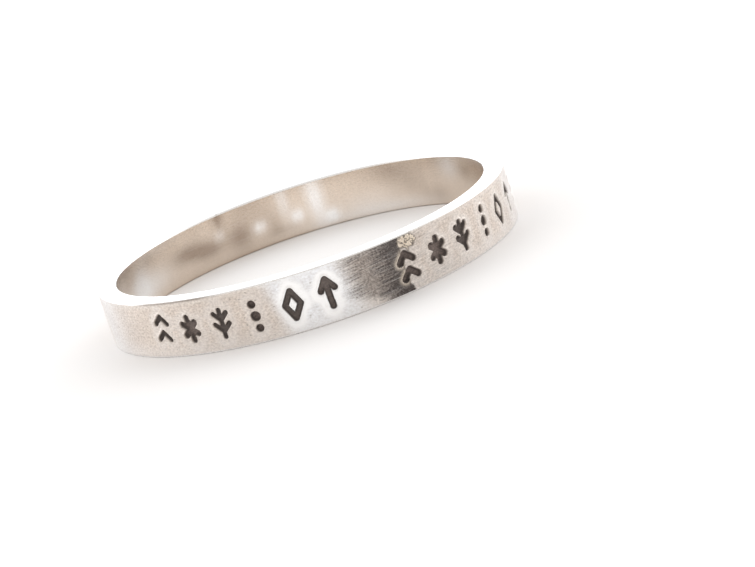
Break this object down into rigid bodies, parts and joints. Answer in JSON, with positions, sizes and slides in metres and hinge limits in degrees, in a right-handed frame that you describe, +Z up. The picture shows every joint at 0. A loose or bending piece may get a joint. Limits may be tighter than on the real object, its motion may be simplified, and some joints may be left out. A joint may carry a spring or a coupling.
{
  "type": "stackable ring",
  "caption": "Flat silver stacking ring: a plain round band with a row of small blackened ornamental punch marks on its outer face.",
  "frame": {"origin": "centre of the finger hole, in the plane of the lower edge that the ring lies on", "axes": "+Z up along the ring's axis, square to both edges; -Y faces the viewer, close to the blank stretch between the two groups of marks; +X to the viewer's right"},
  "size_m": [0.019, 0.019, 0.0025],
  "materials": {
    "silver": "satin sterling silver, blackened in the punch marks"
  },
  "bodies": {
    "root": {"ring_band": "silver"}
  },
  "joints": []
}
